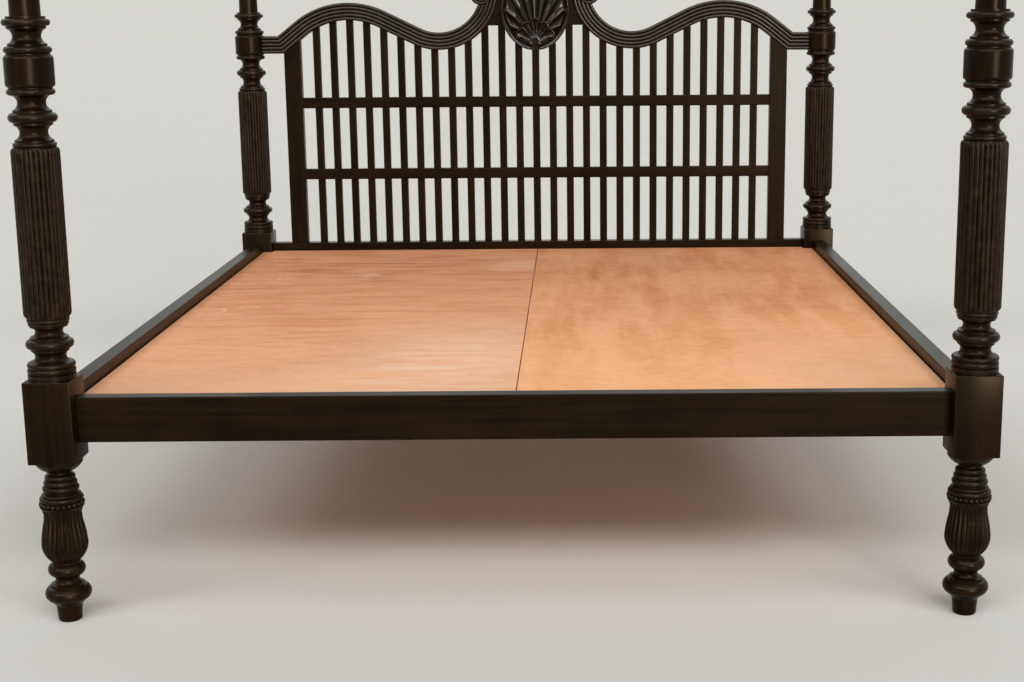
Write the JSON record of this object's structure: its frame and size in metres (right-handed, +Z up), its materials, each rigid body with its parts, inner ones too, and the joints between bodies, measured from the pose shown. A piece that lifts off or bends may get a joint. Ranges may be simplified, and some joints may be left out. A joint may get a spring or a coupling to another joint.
{
  "type": "four-poster bed frame",
  "caption": "Dark four-poster bed with turned and reeded posts, a slatted headboard under a serpentine crest with a carved shell, and a loose panel deck.",
  "frame": {"origin": "on the floor, midway between the four posts", "axes": "+X to the right seen from the foot, +Y from the foot to the headboard, +Z up"},
  "size_m": [1.989, 2.294, 2.1475],
  "materials": {
    "ebonised_wood": "satin near-black brown stain, rubbed on edges",
    "deck_board": "bare tan plywood with faint grain and scuffs",
    "support_wood": "plain stained softwood",
    "zinc_steel": "zinc plated"
  },
  "bodies": {
    "frame": {"crest_board": "ebonised_wood", "crest_left": "ebonised_wood", "crest_right": "ebonised_wood", "cross_bearers": "support_wood", "cross_rail_lower": "ebonised_wood", "cross_rail_upper": "ebonised_wood", "finial_back_left": "ebonised_wood", "finial_back_right": "ebonised_wood", "finial_front_left": "ebonised_wood", "finial_front_right": "ebonised_wood", "foot_rail": "ebonised_wood", "head_rail": "ebonised_wood", "hook_plates": "zinc_steel", "keeper_plates": "zinc_steel", "ledger_left": "support_wood", "ledger_right": "support_wood", "ledger_screws": "zinc_steel", "lower_post_back_left": "ebonised_wood", "lower_post_back_right": "ebonised_wood", "lower_post_front_left": "ebonised_wood", "lower_post_front_right": "ebonised_wood", "plate_screws": "zinc_steel", "shell_carving": "ebonised_wood", "side_rail_left": "ebonised_wood", "side_rail_right": "ebonised_wood", "slat_01": "ebonised_wood", "slat_02": "ebonised_wood", "slat_03": "ebonised_wood", "slat_04": "ebonised_wood", "slat_05": "ebonised_wood", "slat_06": "ebonised_wood", "slat_07": "ebonised_wood", "slat_08": "ebonised_wood", "slat_09": "ebonised_wood", "slat_10": "ebonised_wood", "slat_11": "ebonised_wood", "slat_12": "ebonised_wood", "slat_13": "ebonised_wood", "slat_14": "ebonised_wood", "slat_15": "ebonised_wood", "slat_16": "ebonised_wood", "slat_17": "ebonised_wood", "slat_18": "ebonised_wood", "slat_19": "ebonised_wood", "slat_20": "ebonised_wood", "slat_21": "ebonised_wood", "slat_22": "ebonised_wood", "slat_23": "ebonised_wood", "slat_24": "ebonised_wood", "slat_25": "ebonised_wood", "slat_26": "ebonised_wood", "slat_27": "ebonised_wood", "stile_left": "ebonised_wood", "stile_right": "ebonised_wood", "upper_post_back_left": "ebonised_wood", "upper_post_back_right": "ebonised_wood", "upper_post_front_left": "ebonised_wood", "upper_post_front_right": "ebonised_wood"},
    "deck_left": {"deck_panel_left": "deck_board"},
    "deck_right": {"deck_panel_right": "deck_board"}
  },
  "joints": [
    {"name": "deck_left_lift", "type": "slide", "parent": "frame", "child": "deck_left", "axis": [0, 0, 1], "range_m": [0, 0.35]},
    {"name": "deck_right_lift", "type": "slide", "parent": "frame", "child": "deck_right", "axis": [0, 0, 1], "range_m": [0, 0.35]}
  ]
}
